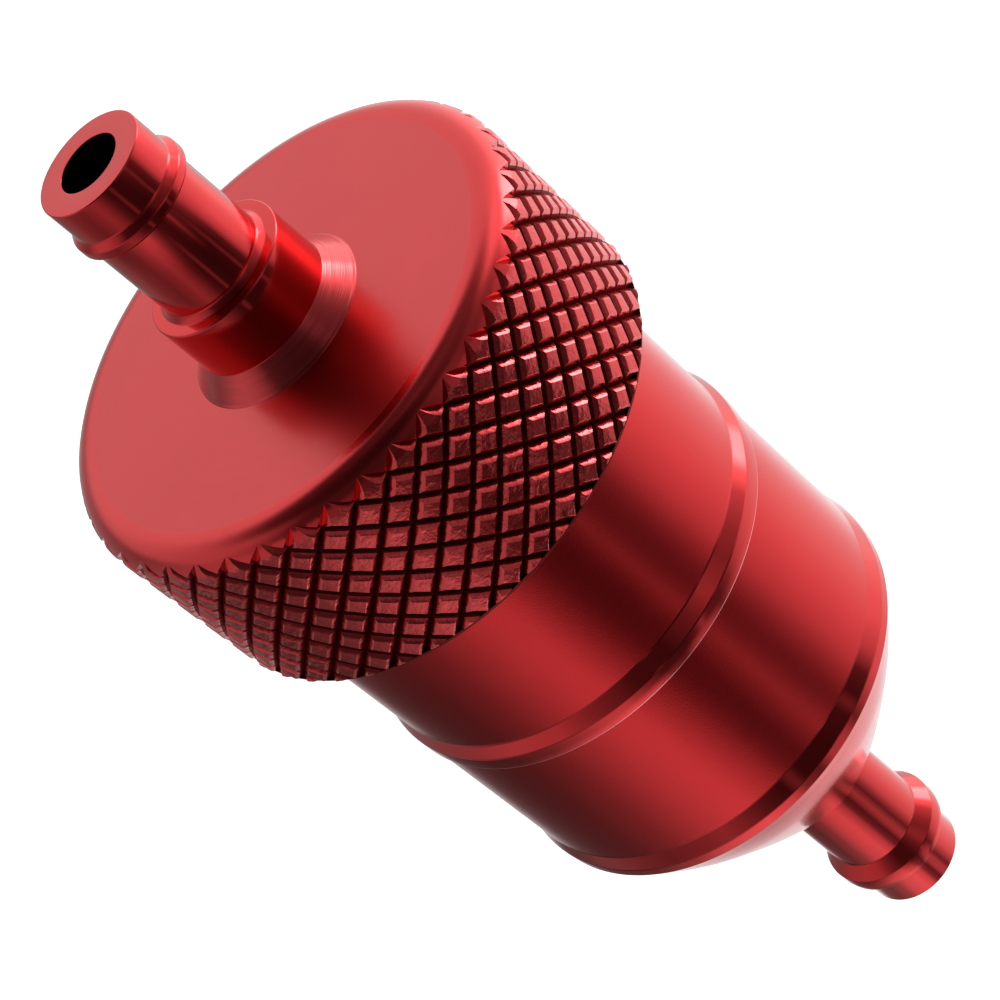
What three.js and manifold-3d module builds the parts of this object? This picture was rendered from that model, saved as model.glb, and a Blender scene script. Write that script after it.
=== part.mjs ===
// Inline fuel filter for a motorcycle or small engine, turned from anodised aluminium.
// Millimetres. The flow axis is Z: the outlet barb ends at the origin and the inlet barb points up.
// Fuel enters the knurled cap, passes the pleated mesh from outside to inside, and leaves at the bottom.

import * as THREE from 'three';
import { mergeVertices } from 'three/addons/utils/BufferGeometryUtils.js';
import Module from 'manifold-3d';

const wasm = await Module();
wasm.setup();

// Driving dimensions.
const TOTAL_LENGTH = 75;
const SHELL_SIDES = 40;
const INNER_SIDES = 32;

const BARB_R = 3.2;
const BORE_R = 1.8;
const BARB_EDGE = 0.15;
const NECK_FILLET = { width: 0.25, height: 0.35 };

// Inlet barb and cap, by height.
const INLET_BEAD = { top: 72.7, crest: 72.4, land: 71.8, step: 71.75, r: 3.58 };
const SHOULDER = { top: 65.9, bottom: 62.3, r: 4.19, edge: 0.2 };
const CAP = { face: 61.0, rim: 48.85, r: 14.67, faceR: 12.7, round: 1.35, flareR: 5.36, edge: 0.25 };
const CAP_ROOF = 58.0;
const SKIRT = { r: 12.7, top: 51.6 };
const WASHER_POCKET = { r: 7.3, depth: 0.4 };

// Barrel and outlet barb, by height.
const BODY = { r: 12.46, lowerR: 12.64, top: 57.6, edge: 0.2 };
const UPPER_RING = { start: 38.0, crest: 37.05, step: 35.95, r: 12.82 };
const LOWER_RING = { start: 24.95, crest: 23.8, step: 23.1, r: 12.88 };
const CONE = { endZ: 10.85, dome: 0.4, steps: 6 };
const OUTLET_BEAD = { start: 4.85, crest: 3.95, land: 3.05, step: 2.6, r: 3.86 };
const BOWL = { r: 9.9, ledge: 25.0, ledgeR: 6.4, drillTip: 15.5 };

// Screw thread between cap and barrel.
const PITCH = 1.5;
const MALE = { root: 11.05, crest: 11.95 };
const FEMALE = { root: 12.15, crest: 11.25 };
const THREAD = { rootWidth: 1.1, crestWidth: 0.3, buried: 0.25, bottom: 52.7, turns: 2.6 };
const THREAD_RUN_OUT = { share: 0.12, startShare: 0.1 };
const THREAD_RELIEF = { maleBottom: 51.75, femaleTop: 57.6, femaleBottom: 52.1 };

// Seals.
const O_RING = { r: 11.98, section: 0.66, z: 50.2, grooveHalf: 0.9, grooveR: 11.3, land: 0.15 };
const SEAL = { inner: 6.6, outer: 8.9, bottom: 25.0, top: 26.2 };

// Filter element, from its seal up to its closed end.
const COLLAR = { outer: 9.05, spigot: 5.6, wall: 0.3, spigotWall: 0.5, plate: 1.2, lip: 3.0 };
const ELEMENT_TOP = 48.0;
const CORE = { inner: 6.15, outer: 6.75 };
const PLEATS = { count: 20, inner: 7.0, outer: 8.65, sheet: 0.4 };
const POTTING_DEPTH = 0.6;
const SPRING_BOSS = { r: 3.9, height: 2.0, edge: 0.4 };
const SLOT = { width: 1.6, height: 3.6, columns: 6, rows: 3 };
const FIT_GAP = 0.05;

// Spring and its seat washer.
const SPRING = { r: 5.2, wire: 0.9, coils: 5.5, endCoil: 1.05, top: 57.3, stepsPerTurn: 18 };
const WASHER = { inner: 3.4, outer: 7.0, bottom: 57.35, top: 58.3 };

const RED = { color: 0xa81820, roughness: 0.32, metalness: 1.0 };

function turned(outline, sides = INNER_SIDES) {
  const points = outline.map(([r, z]) => new THREE.Vector2(r, z));
  points.push(points[0].clone());
  return new THREE.LatheGeometry(points, sides).rotateX(Math.PI / 2);
}

function solidOf(geometry) {
  const bare = geometry.clone();
  bare.deleteAttribute('normal');
  bare.deleteAttribute('uv');
  const merged = mergeVertices(bare, 1e-4);
  const mesh = new wasm.Mesh({
    numProp: 3,
    vertProperties: new Float32Array(merged.attributes.position.array),
    triVerts: new Uint32Array(merged.index.array),
  });
  return new wasm.Manifold(mesh);
}

function geometryOf(solid) {
  const mesh = solid.getMesh();
  const geometry = new THREE.BufferGeometry();
  geometry.setAttribute('position', new THREE.BufferAttribute(mesh.vertProperties, 3));
  geometry.setIndex(new THREE.BufferAttribute(mesh.triVerts, 1));
  geometry.computeVertexNormals();
  return geometry;
}

function part(name, geometry, look) {
  const mesh = new THREE.Mesh(geometry, new THREE.MeshStandardMaterial(look));
  mesh.name = name;
  return mesh;
}

// A ring of rectangular section.
function ring(inner, outer, bottom, top) {
  return turned([[inner, bottom], [outer, bottom], [outer, top], [inner, top]]);
}

// Points on a quarter of an ellipse that leaves [r0, z0] along the axis and reaches [r1, z1] square to it.
function quarter([r0, z0], [r1, z1], steps = 4) {
  const points = [];
  for (let i = 1; i <= steps; i += 1) {
    const a = (i / steps) * (Math.PI / 2);
    points.push([r0 + (r1 - r0) * (1 - Math.cos(a)), z0 + (z1 - z0) * Math.sin(a)]);
  }
  return points;
}

// Points on a slightly domed flank from [r0, z0] to [r1, z1], standing out by dome at its middle.
function domed([r0, z0], [r1, z1], dome, steps) {
  const points = [];
  const length = Math.hypot(r1 - r0, z1 - z0);
  for (let i = 1; i <= steps; i += 1) {
    const t = i / steps;
    const out = (4 * t * (1 - t) * dome) / length;
    points.push([r0 + (r1 - r0) * t + (z1 - z0) * out, z0 + (z1 - z0) * t - (r1 - r0) * out]);
  }
  return points;
}

// One helical thread ridge, running out at both ends. It grows from a little under the cylinder of
// radius base up to radius crest, and its middle starts at height start above angle zero.
function threadRidge({ base, crest }, start) {
  const rootHalf = THREAD.rootWidth / 2;
  const crestHalf = THREAD.crestWidth / 2;
  const flank = (rootHalf - crestHalf) / Math.abs(crest - base);
  const buriedHalf = rootHalf + flank * THREAD.buried;
  const section = new THREE.Shape([
    new THREE.Vector2(0, -buriedHalf),
    new THREE.Vector2(1, -crestHalf),
    new THREE.Vector2(1, crestHalf),
    new THREE.Vector2(0, buriedHalf),
  ]);
  const steps = Math.round(THREAD.turns * SHELL_SIDES);
  const geometry = new THREE.ExtrudeGeometry(section, { depth: 1, steps, bevelEnabled: false });
  const outward = Math.sign(crest - base);
  const height = Math.abs(crest - base) + THREAD.buried;
  const at = geometry.attributes.position;
  for (let i = 0; i < at.count; i += 1) {
    const along = at.getZ(i);
    const turn = along * THREAD.turns;
    const fromEnd = Math.min(along, 1 - along);
    const grown = Math.min(1, THREAD_RUN_OUT.startShare + fromEnd / THREAD_RUN_OUT.share);
    const r = base + outward * (at.getX(i) * height * grown - THREAD.buried);
    const angle = turn * 2 * Math.PI + Math.PI / SHELL_SIDES;
    const z = start + PITCH * (angle / (2 * Math.PI)) + at.getY(i);
    at.setXYZ(i, r * Math.cos(angle), r * Math.sin(angle), z);
  }
  if (outward > 0) {
    turnInsideOut(geometry);
  }
  return geometry;
}

function turnInsideOut(geometry) {
  const at = geometry.attributes.position;
  for (let i = 0; i < at.count; i += 3) {
    const second = [at.getX(i + 1), at.getY(i + 1), at.getZ(i + 1)];
    at.setXYZ(i + 1, at.getX(i + 2), at.getY(i + 2), at.getZ(i + 2));
    at.setXYZ(i + 2, ...second);
  }
}

function inletCap() {
  const outline = [
    [BORE_R, CAP_ROOF + WASHER_POCKET.depth],
    [WASHER_POCKET.r, CAP_ROOF + WASHER_POCKET.depth],
    [WASHER_POCKET.r, CAP_ROOF],
    [FEMALE.crest, CAP_ROOF],
    [FEMALE.root, THREAD_RELIEF.femaleTop],
    [FEMALE.root, THREAD_RELIEF.femaleBottom],
    [SKIRT.r, SKIRT.top],
    [SKIRT.r, CAP.rim],
    [CAP.r - CAP.edge, CAP.rim],
    [CAP.r, CAP.rim + CAP.edge],
    [CAP.r, CAP.face - CAP.round],
    ...quarter([CAP.r, CAP.face - CAP.round], [CAP.faceR, CAP.face]),
    [CAP.flareR, CAP.face],
    [SHOULDER.r, SHOULDER.bottom],
    [SHOULDER.r, SHOULDER.top - SHOULDER.edge],
    [SHOULDER.r - SHOULDER.edge, SHOULDER.top],
    [BARB_R + NECK_FILLET.width, SHOULDER.top],
    [BARB_R, SHOULDER.top + NECK_FILLET.height],
    [BARB_R, INLET_BEAD.step],
    [INLET_BEAD.r, INLET_BEAD.land],
    [INLET_BEAD.r, INLET_BEAD.crest],
    [BARB_R, INLET_BEAD.top],
    [BARB_R, TOTAL_LENGTH - BARB_EDGE],
    [BARB_R - BARB_EDGE, TOTAL_LENGTH],
    [BORE_R, TOTAL_LENGTH],
  ];
  const shell = solidOf(turned(outline, SHELL_SIDES));
  const ridge = threadRidge({ base: FEMALE.root, crest: FEMALE.crest }, THREAD.bottom + PITCH / 2);
  return part('inlet_cap', geometryOf(shell.add(solidOf(ridge))), RED);
}

function barrel() {
  const grooveTop = O_RING.z + O_RING.grooveHalf;
  const grooveBottom = O_RING.z - O_RING.grooveHalf;
  const outline = [
    [BORE_R, 0],
    [BARB_R - BARB_EDGE, 0],
    [BARB_R, BARB_EDGE],
    [BARB_R, OUTLET_BEAD.step],
    [OUTLET_BEAD.r, OUTLET_BEAD.land],
    [OUTLET_BEAD.r, OUTLET_BEAD.crest],
    [BARB_R, OUTLET_BEAD.start],
    [BARB_R, CONE.endZ],
    ...domed([BARB_R, CONE.endZ], [LOWER_RING.r, LOWER_RING.step], CONE.dome, CONE.steps),
    [LOWER_RING.r, LOWER_RING.crest],
    [BODY.lowerR, LOWER_RING.start],
    [BODY.lowerR, UPPER_RING.step],
    [UPPER_RING.r, UPPER_RING.step],
    [UPPER_RING.r, UPPER_RING.crest],
    [BODY.r, UPPER_RING.start],
    [BODY.r, grooveBottom],
    [O_RING.grooveR, grooveBottom],
    [O_RING.grooveR, grooveTop],
    [BODY.r, grooveTop],
    [BODY.r, grooveTop + O_RING.land],
    [MALE.root, THREAD_RELIEF.maleBottom],
    [MALE.root, BODY.top],
    [BOWL.r + BODY.edge, BODY.top],
    [BOWL.r, BODY.top - BODY.edge],
    [BOWL.r, BOWL.ledge],
    [BOWL.ledgeR, BOWL.ledge],
    [BORE_R, BOWL.drillTip],
  ];
  const shell = solidOf(turned(outline, SHELL_SIDES));
  const ridge = threadRidge({ base: MALE.root, crest: MALE.crest }, THREAD.bottom);
  return part('barrel', geometryOf(shell.add(solidOf(ridge))), RED);
}

function capORing() {
  const geometry = new THREE.TorusGeometry(O_RING.r, O_RING.section, 10, SHELL_SIDES);
  geometry.translate(0, 0, O_RING.z);
  return part('cap_o_ring', geometry, { color: 0x151515, roughness: 0.55, metalness: 0 });
}

function elementSeal() {
  const { inner, outer, bottom, top } = SEAL;
  return part('element_seal', ring(inner, outer, bottom, top), {
    color: 0x1c1a18,
    roughness: 0.7,
    metalness: 0,
  });
}

// A channel section that holds one end of the core tube and of the pleats. Facing is +1 when the
// channel opens upwards. A closed one is a full disc with a boss for the spring.
function elementEnd(name, plateZ, facing, closed) {
  const lipZ = plateZ + facing * COLLAR.lip;
  const floorZ = plateZ + facing * COLLAR.plate;
  const spigotR = COLLAR.spigot + COLLAR.spigotWall;
  const channel = [
    [COLLAR.outer, plateZ],
    [COLLAR.outer, lipZ],
    [COLLAR.outer - COLLAR.wall, lipZ],
    [COLLAR.outer - COLLAR.wall, floorZ],
    [spigotR, floorZ],
    [spigotR, lipZ],
    [COLLAR.spigot, lipZ],
  ];
  if (closed) {
    const bossTop = plateZ - facing * SPRING_BOSS.height;
    channel.push([COLLAR.spigot, floorZ], [0, floorZ], [0, bossTop]);
    channel.push([SPRING_BOSS.r - SPRING_BOSS.edge, bossTop]);
    channel.push([SPRING_BOSS.r, bossTop + facing * SPRING_BOSS.edge], [SPRING_BOSS.r, plateZ]);
  } else {
    channel.push([COLLAR.spigot, plateZ]);
  }
  const outline = facing > 0 ? channel : channel.reverse();
  return part(name, turned(outline), { color: 0xb9bcc0, roughness: 0.35, metalness: 1 });
}

// The perforated tube that keeps the pleats from collapsing.
function coreTube(bottom, top) {
  let tube = solidOf(ring(CORE.inner, CORE.outer, bottom, top));
  const spacing = (top - bottom) / SLOT.rows;
  for (let row = 0; row < SLOT.rows; row += 1) {
    for (let column = 0; column < SLOT.columns / 2; column += 1) {
      const cutter = new THREE.BoxGeometry(3 * CORE.outer, SLOT.width, SLOT.height);
      cutter.rotateZ((column * 2 * Math.PI) / SLOT.columns);
      cutter.translate(0, 0, bottom + spacing * (row + 0.5));
      tube = tube.subtract(solidOf(cutter));
    }
  }
  return part('core_tube', geometryOf(tube), { color: 0xc9ccd0, roughness: 0.3, metalness: 1 });
}

// A star-shaped sleeve folded from one strip of woven wire.
function pleatedMesh(bottom, top) {
  const folds = PLEATS.count * 2;
  const corner = (i, inset) => {
    const angle = (i * 2 * Math.PI) / folds;
    const r = (i % 2 ? PLEATS.inner + PLEATS.sheet : PLEATS.outer) - inset;
    return new THREE.Vector2(r * Math.cos(angle), r * Math.sin(angle));
  };
  const outer = [];
  const inner = [];
  for (let i = 0; i < folds; i += 1) {
    outer.push(corner(i, 0));
    inner.push(corner(i, PLEATS.sheet));
  }
  const star = new THREE.Shape(outer);
  star.holes.push(new THREE.Path(inner));
  const geometry = new THREE.ExtrudeGeometry(star, { depth: top - bottom, bevelEnabled: false });
  geometry.translate(0, 0, bottom);
  return part('pleated_mesh', geometry, { color: 0x9ea2a6, roughness: 0.45, metalness: 1 });
}

function potting(name, bottom, top) {
  const inner = CORE.outer + FIT_GAP;
  const outer = COLLAR.outer - COLLAR.wall - FIT_GAP;
  return part(name, ring(inner, outer, bottom, top), {
    color: 0x6f5a2a,
    roughness: 0.5,
    metalness: 0,
  });
}

function filterElement() {
  const lowerFloor = SEAL.top + COLLAR.plate;
  const upperFloor = ELEMENT_TOP - COLLAR.plate;
  const element = new THREE.Group();
  element.add(
    elementSeal(),
    elementEnd('outlet_collar', SEAL.top, 1, false),
    elementEnd('closed_end', ELEMENT_TOP, -1, true),
    coreTube(lowerFloor + FIT_GAP, upperFloor - FIT_GAP),
    pleatedMesh(lowerFloor + POTTING_DEPTH + FIT_GAP, upperFloor - POTTING_DEPTH - FIT_GAP),
    potting('lower_potting', lowerFloor, lowerFloor + POTTING_DEPTH),
    potting('upper_potting', upperFloor - POTTING_DEPTH, upperFloor),
  );
  return element;
}

// The spring's centre line: an open coil whose first and last turns lie close.
class SpringLine extends THREE.Curve {
  getPoint(t, target = new THREE.Vector3()) {
    const bottom = ELEMENT_TOP + SPRING.wire / 2;
    const top = SPRING.top - SPRING.wire / 2;
    const turn = t * SPRING.coils;
    const closed = SPRING.endCoil;
    const openPitch = (top - bottom - 2 * closed) / (SPRING.coils - 2);
    const low = Math.min(turn, 1);
    const high = Math.max(turn - (SPRING.coils - 1), 0);
    const middle = turn - low - high;
    const z = bottom + (low + high) * closed + middle * openPitch;
    const angle = turn * 2 * Math.PI;
    return target.set(SPRING.r * Math.cos(angle), SPRING.r * Math.sin(angle), z);
  }
}

function spring() {
  const section = new THREE.Shape();
  section.absarc(0, 0, SPRING.wire / 2, 0, 2 * Math.PI);
  const geometry = new THREE.ExtrudeGeometry(section, {
    curveSegments: 4,
    steps: Math.round(SPRING.coils * SPRING.stepsPerTurn),
    extrudePath: new SpringLine(),
    bevelEnabled: false,
  });
  return part('spring', geometry, { color: 0xd0d2d4, roughness: 0.25, metalness: 1 });
}

function seatWasher() {
  const { inner, outer, bottom, top } = WASHER;
  return part('spring_seat_washer', ring(inner, outer, bottom, top), {
    color: 0xb7a36a,
    roughness: 0.3,
    metalness: 1,
  });
}

const fuelFilter = new THREE.Group();
fuelFilter.add(barrel(), capORing(), filterElement(), spring(), seatWasher(), inletCap());

export default fuelFilter;
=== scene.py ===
import math

import bmesh
import bpy
from mathutils import Matrix, Vector


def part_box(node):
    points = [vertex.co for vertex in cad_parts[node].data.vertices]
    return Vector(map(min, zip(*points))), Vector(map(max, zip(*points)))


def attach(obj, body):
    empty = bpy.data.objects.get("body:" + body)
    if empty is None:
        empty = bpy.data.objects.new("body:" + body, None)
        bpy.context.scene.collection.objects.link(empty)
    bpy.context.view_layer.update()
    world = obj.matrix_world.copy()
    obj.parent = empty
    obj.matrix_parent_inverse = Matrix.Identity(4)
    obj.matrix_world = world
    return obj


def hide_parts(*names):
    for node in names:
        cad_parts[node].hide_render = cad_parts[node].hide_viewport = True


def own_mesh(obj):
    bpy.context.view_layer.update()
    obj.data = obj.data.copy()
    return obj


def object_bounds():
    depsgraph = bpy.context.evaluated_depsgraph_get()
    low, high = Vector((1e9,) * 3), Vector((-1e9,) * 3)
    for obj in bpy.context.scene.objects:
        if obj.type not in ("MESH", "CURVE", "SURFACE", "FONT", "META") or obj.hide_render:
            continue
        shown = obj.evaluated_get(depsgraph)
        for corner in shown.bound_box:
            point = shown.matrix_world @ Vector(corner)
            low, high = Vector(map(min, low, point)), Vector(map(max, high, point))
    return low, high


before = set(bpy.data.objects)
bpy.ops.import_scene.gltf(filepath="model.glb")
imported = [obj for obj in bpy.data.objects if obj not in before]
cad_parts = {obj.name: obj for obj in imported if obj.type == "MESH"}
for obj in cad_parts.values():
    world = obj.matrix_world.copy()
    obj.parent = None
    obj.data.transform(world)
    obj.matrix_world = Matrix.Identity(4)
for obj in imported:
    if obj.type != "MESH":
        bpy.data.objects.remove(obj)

cad_low, cad_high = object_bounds()


# Barrel
# The lower shell and outlet barb, turned from one bar of aluminium and anodised red. Two raised rings
# with bevelled shoulders stiffen it, and the cap's thread is cut on its top end.

MM = 0.001
TURN = 2 * math.pi
Z_AXIS = (0, 0, 1)
SHELL_SIDES = 192


def finished(name, bm, sharp=32):
    """Makes the bmesh an object, shaded smooth but crisp wherever it turns by over sharp degrees."""
    mesh = bpy.data.meshes.new(name)
    bm.to_mesh(mesh)
    bm.free()
    mesh.shade_smooth()
    mesh.set_sharp_from_angle(angle=math.radians(sharp))
    piece = bpy.data.objects.new(name, mesh)
    bpy.context.scene.collection.objects.link(piece)
    return piece


def turned(outline, sides=SHELL_SIDES):
    """A bmesh turned about Z from a closed outline of (radius, height, edge rounding) in millimetres."""
    bm = bmesh.new()
    corners = [bm.verts.new((r * MM, 0, z * MM)) for r, z, rounding in outline]
    bm.faces.new(corners)
    for corner, (r, z, rounding) in zip(corners, outline):
        if rounding:
            bmesh.ops.bevel(
                bm, geom=[corner], offset=rounding * MM, offset_type="OFFSET",
                segments=6, profile=0.5, affect="VERTICES", material=-1,
            )
    bmesh.ops.delete(bm, geom=bm.faces[:], context="FACES_ONLY")
    bmesh.ops.spin(
        bm, geom=bm.verts[:] + bm.edges[:], axis=Z_AXIS, cent=(0, 0, 0), dvec=(0, 0, 0),
        angle=TURN, steps=sides, use_merge=True, use_duplicate=False,
    )
    bmesh.ops.remove_doubles(bm, verts=bm.verts[:], dist=0.0005 * MM)
    bmesh.ops.recalc_face_normals(bm, faces=bm.faces[:])
    return bm


def combined(piece, tool, operation):
    """Joins or cuts piece with the closed body tool, which is used up."""
    modifier = piece.modifiers.new("cut", "BOOLEAN")
    modifier.operation = operation
    modifier.solver = "MANIFOLD"
    modifier.object = tool
    bpy.context.view_layer.update()
    result = bpy.data.meshes.new_from_object(piece.evaluated_get(bpy.context.evaluated_depsgraph_get()))
    piece.modifiers.clear()
    result.materials.clear()
    piece.data = result
    result.name = piece.name
    bpy.data.objects.remove(tool)
    return piece


def evened(piece):
    """Weights the normals by face area, so that flats stay flat right up to their rounded edges."""
    modifier = piece.modifiers.new("even_normals", "WEIGHTED_NORMAL")
    modifier.keep_sharp = True
    return piece


def material(name, colour, metallic, roughness, coat=0.0, coat_roughness=0.1, coat_ior=1.5):
    """A Principled material and its node tree, shader and output, ready for its pattern."""
    made = bpy.data.materials.new(name)
    made.use_nodes = True
    shader = made.node_tree.nodes["Principled BSDF"]
    shader.inputs["Base Color"].default_value = (*colour, 1)
    shader.inputs["Metallic"].default_value = metallic
    shader.inputs["Roughness"].default_value = roughness
    shader.inputs["Coat Weight"].default_value = coat
    shader.inputs["Coat Roughness"].default_value = coat_roughness
    shader.inputs["Coat IOR"].default_value = coat_ior
    return made, made.node_tree, shader


def add(tree, kind, **settings):
    """Adds a shader node, with its properties, or its inputs by name, set to the given values."""
    node = tree.nodes.new(kind)
    for key, value in settings.items():
        if hasattr(node, key):
            setattr(node, key, value)
        else:
            node.inputs[key.replace("_", " ").title()].default_value = value
    return node


def link(tree, source, socket):
    """Joins a node's output to another node's input."""
    tree.links.new(source, socket)


def lathe_coordinates(tree):
    """The place on the piece in metres, and the same as (radius, 0, height), on which patterns are rings."""
    place = add(tree, "ShaderNodeTexCoord")
    split = add(tree, "ShaderNodeSeparateXYZ")
    link(tree, place.outputs["Object"], split.inputs[0])
    flat = add(tree, "ShaderNodeCombineXYZ")
    link(tree, split.outputs["X"], flat.inputs["X"])
    link(tree, split.outputs["Y"], flat.inputs["Y"])
    radius = add(tree, "ShaderNodeVectorMath", operation="LENGTH")
    link(tree, flat.outputs[0], radius.inputs[0])
    ringed = add(tree, "ShaderNodeCombineXYZ")
    link(tree, radius.outputs["Value"], ringed.inputs["X"])
    link(tree, split.outputs["Z"], ringed.inputs["Z"])
    return place.outputs["Object"], ringed.outputs[0]


def ranged(tree, source, low, high):
    """Maps a pattern's 0 to 1 on to low to high."""
    node = add(tree, "ShaderNodeMapRange")
    node.inputs["To Min"].default_value = low
    node.inputs["To Max"].default_value = high
    link(tree, source, node.inputs["Value"])
    return node.outputs["Result"]


RED_DYE = ((0.57, 0.0045, 0.0075), (0.63, 0.0080, 0.0115))


def anodised(
    name, roughness, grain, rings, coat, ring_scale=5200.0, grain_scale=9000.0, coat_ior=1.6, dye_and_painted_light=RED_DYE,
):
    """Red dyed anodising: the metal shows through a dyed clear skin. Grain is the etched skin's fine
    speckle and rings the tool marks, both as bump heights in millimetres. dye_and_painted_light gives its
    two tints: the red skin's own colour for most finishes, painted shade for the knurl roots and a painted
    highlight for the upper ring's edge."""
    made, tree, shader = material(
        name, (0.60, 0.0060, 0.0090), 1.0, roughness, coat=coat, coat_roughness=roughness * 0.8,
        coat_ior=coat_ior,
    )
    shader.inputs["Specular Tint"].default_value = (1.0, 0.35, 0.36, 1)
    place, ringed = lathe_coordinates(tree)
    speckle = add(tree, "ShaderNodeTexNoise", scale=grain_scale, detail=2.0)
    link(tree, place, speckle.inputs["Vector"])
    marks = add(tree, "ShaderNodeTexNoise", scale=ring_scale, detail=3.0)
    link(tree, ringed, marks.inputs["Vector"])
    cloud = add(tree, "ShaderNodeTexNoise", scale=260.0, detail=3.0)
    link(tree, place, cloud.inputs["Vector"])
    tint = add(tree, "ShaderNodeMix", data_type="RGBA")
    tint.inputs["A"].default_value = (*dye_and_painted_light[0], 1)
    tint.inputs["B"].default_value = (*dye_and_painted_light[1], 1)
    link(tree, cloud.outputs["Fac"], tint.inputs["Factor"])
    link(tree, tint.outputs["Result"], shader.inputs["Base Color"])
    worn = ranged(tree, marks.outputs["Fac"], roughness * 0.8, roughness * 1.2)
    link(tree, worn, shader.inputs["Roughness"])
    first = add(tree, "ShaderNodeBump", distance=rings * MM, strength=1.0)
    link(tree, marks.outputs["Fac"], first.inputs["Height"])
    second = add(tree, "ShaderNodeBump", distance=grain * MM, strength=1.0)
    link(tree, speckle.outputs["Fac"], second.inputs["Height"])
    link(tree, first.outputs["Normal"], second.inputs["Normal"])
    link(tree, second.outputs["Normal"], shader.inputs["Normal"])
    link(tree, second.outputs["Normal"], shader.inputs["Coat Normal"])
    return made


SATIN = anodised("anodised_satin", 0.185, 0.0050, 0.0008, coat=1.0, grain_scale=12000.0, coat_ior=1.33)
BRIGHT = anodised("anodised_bright", 0.085, 0.0003, 0.0005, coat=1.0, coat_ior=1.42)
# A pale pink tint for the upper ring's sharp edge: a painted highlight in place of the thin highlight that
# the edge catches.
RIM_HIGHLIGHT_TINTS = ((0.72, 0.30, 0.31), (0.84, 0.50, 0.50))
RIM_PAINTED_HIGHLIGHT = anodised("anodised_rim_painted_highlight", 0.24, 0.0010, 0.0, coat=0.6, dye_and_painted_light=RIM_HIGHLIGHT_TINTS)

barrel_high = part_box("barrel")[1]
ring_r = barrel_high.x / MM
mouth_z = barrel_high.z / MM
BARB_R = 3.2
BORE_R = 1.8
NECK_R = 12.46
BODY_R = 12.64
LAND_R = 12.82
BOWL_R = 9.90
SEAT_Z = 25.0
UPPER_RING = (35.95, 38.0)
LOWER_RING = (23.1, 24.95)
GROOVE = (49.3, 51.1)
GROOVE_R = 11.30
THREAD_PITCH = 1.5
THREAD_TURNS = 2.6
MALE_ROOT = 11.05
MALE_CREST = 11.95

barrel_outline = [
    (BORE_R, 0, 0.04),
    (BARB_R, 0, 0.10),
    (BARB_R, 2.60, 0.04),
    (3.80, 2.70, 0.05),
    (3.86, 3.10, 0.05),
    (3.86, 3.92, 0.05),
    (BARB_R, 4.85, 0.08),
    (BARB_R, 10.90, 0.03),
    (5.90, 13.62, 1.50),
    (9.05, 17.36, 3.00),
    (11.62, 20.96, 3.00),
    (ring_r - 0.03, LOWER_RING[0], 0.08),
    (ring_r, 23.78, 0.08),
    (BODY_R, LOWER_RING[1], 0.12),
    (BODY_R, UPPER_RING[0], 0.05),
    (LAND_R, UPPER_RING[0] + 0.03, 0.09),
    (LAND_R, 37.05, 0.10),
    (NECK_R, UPPER_RING[1], 0.12),
    (NECK_R, GROOVE[0], 0.05),
    (GROOVE_R, GROOVE[0], 0.15),
    (GROOVE_R, GROOVE[1], 0.15),
    (NECK_R, GROOVE[1], 0.05),
    (NECK_R, 51.25, 0.10),
    (MALE_ROOT, 51.75, 0.15),
    (MALE_ROOT, mouth_z, 0.25),
    (10.10, mouth_z, 0.15),
    (BOWL_R, mouth_z - 0.4, 0),
    (BOWL_R, SEAT_Z, 0.30),
    (6.40, SEAT_Z, 0.15),
    (BORE_R, 15.5, 0.30),
]
barrel = finished("turned_barrel", turned(barrel_outline))


RIDGE_FOOT = 0.72
RIDGE_CREST = 0.16


def thread_ridge(base, crest, start, sides=96):
    """One helical ridge that grows out of the cylinder of radius base and runs out at both ends."""
    bm = bmesh.new()
    inward = math.copysign(0.3, crest - base)
    foot = base - inward
    section = [
        bm.verts.new((r * MM, 0, (start + dz) * MM))
        for r, dz in ((foot, -RIDGE_FOOT), (crest, -RIDGE_CREST), (crest, RIDGE_CREST), (foot, RIDGE_FOOT))
    ]
    bm.faces.new(section)
    bmesh.ops.bevel(
        bm, geom=section[1:3], offset=0.06 * MM, offset_type="OFFSET",
        segments=2, profile=0.5, affect="VERTICES", material=-1,
    )
    bmesh.ops.delete(bm, geom=bm.faces[:], context="FACES_ONLY")
    steps = round(THREAD_TURNS * sides)
    bmesh.ops.spin(
        bm, geom=bm.verts[:] + bm.edges[:], axis=Z_AXIS, cent=(0, 0, 0),
        dvec=(0, 0, THREAD_PITCH * THREAD_TURNS * MM / steps), angle=TURN * THREAD_TURNS, steps=steps,
        use_merge=False, use_duplicate=False,
    )
    bmesh.ops.holes_fill(bm, edges=bm.edges[:], sides=0)
    run_out = 0.12 * THREAD_TURNS * THREAD_PITCH
    for vert in bm.verts:
        angle = math.atan2(vert.co.y, vert.co.x) % TURN
        turns = round((vert.co.z / MM - start) / THREAD_PITCH - angle / TURN) + angle / TURN
        along = min(turns, THREAD_TURNS - turns) * THREAD_PITCH
        grown = min(1, 0.1 + max(along, 0) / run_out)
        radius = math.hypot(vert.co.x, vert.co.y) / MM
        sunk = base - inward + (radius - base + inward) * grown
        vert.co.x *= sunk / radius
        vert.co.y *= sunk / radius
    bmesh.ops.recalc_face_normals(bm, faces=bm.faces[:])
    return bm


combined(barrel, finished("male_thread", thread_ridge(MALE_ROOT, MALE_CREST, 52.7)), "UNION")
BRIGHT_BANDS = ((-1, 14.0), (22.4, 25.1), (36.0, 38.1), (49.0, 70.0))


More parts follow.
